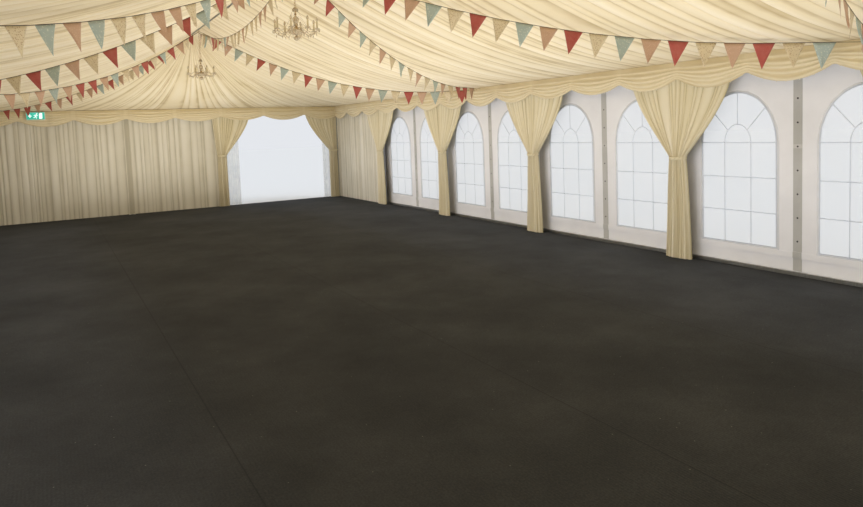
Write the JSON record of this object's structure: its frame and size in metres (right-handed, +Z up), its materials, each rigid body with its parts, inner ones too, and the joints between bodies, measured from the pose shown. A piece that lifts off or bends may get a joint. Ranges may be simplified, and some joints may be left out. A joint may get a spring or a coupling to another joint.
{
  "type": "marquee tent",
  "caption": "Long frame marquee with hipped ends, arched clear windows, draped ivory lining with pelmets, doorways with drapes, chandeliers, bunting and a carpeted floor.",
  "frame": {"origin": "on the ground at the centre of the plan, under the floor", "axes": "+Y along the ridge towards the end with the exit sign, +X towards the wall on the doorway side, +Z up"},
  "size_m": [9.031, 21.0208, 4.2194],
  "materials": {
    "frame": "mill",
    "deck": "plain boards",
    "carpet": "short rib pile",
    "cover": "coated fabric, satin",
    "wall": "coated fabric, satin",
    "clear": "clear flexible sheet",
    "lining": "pleated, matt",
    "drape": "gathered, matt",
    "crystal": "cut drops on brass",
    "bunting": "twisted cord",
    "sign": "moulded"
  },
  "bodies": {
    "root": {"portal_frame_1": "frame", "portal_frame_2": "frame", "portal_frame_3": "frame", "portal_frame_4": "frame", "portal_frame_5": "frame", "portal_frame_6": "frame", "near_end_frame": "frame", "far_end_frame": "frame", "left_eave_beam": "frame", "right_eave_beam": "frame", "ridge_beam": "frame", "floor_deck": "deck", "carpet": "carpet", "left_roof_cover": "cover", "right_roof_cover": "cover", "near_roof_cover": "cover", "far_roof_cover": "cover", "left_wall": "wall", "right_wall": "wall", "near_wall": "wall", "far_wall": "wall", "near_door_header": "wall", "far_door_header": "wall", "left_window_panes": "clear", "right_window_panes": "clear", "near_door_flaps": "clear", "far_door_flaps": "clear", "left_roof_lining": "lining", "right_roof_lining": "lining", "near_fan_lining": "lining", "far_fan_lining": "lining", "near_left_wall_lining": "lining", "near_right_wall_lining": "lining", "far_left_wall_lining": "lining", "far_right_wall_lining": "lining", "left_pelmet": "drape", "right_pelmet": "drape", "near_pelmet": "drape", "far_pelmet": "drape", "left_leg_drapes": "drape", "right_leg_drapes": "drape", "near_door_drapes": "drape", "far_door_drapes": "drape", "chandelier_1": "crystal", "chandelier_2": "crystal", "chandelier_3": "crystal", "bunting_line_1": "bunting", "bunting_line_2": "bunting", "bunting_line_3": "bunting", "bunting_line_4": "bunting", "bunting_line_5": "bunting", "bunting_line_6": "bunting", "exit_sign": "sign"}
  },
  "joints": []
}
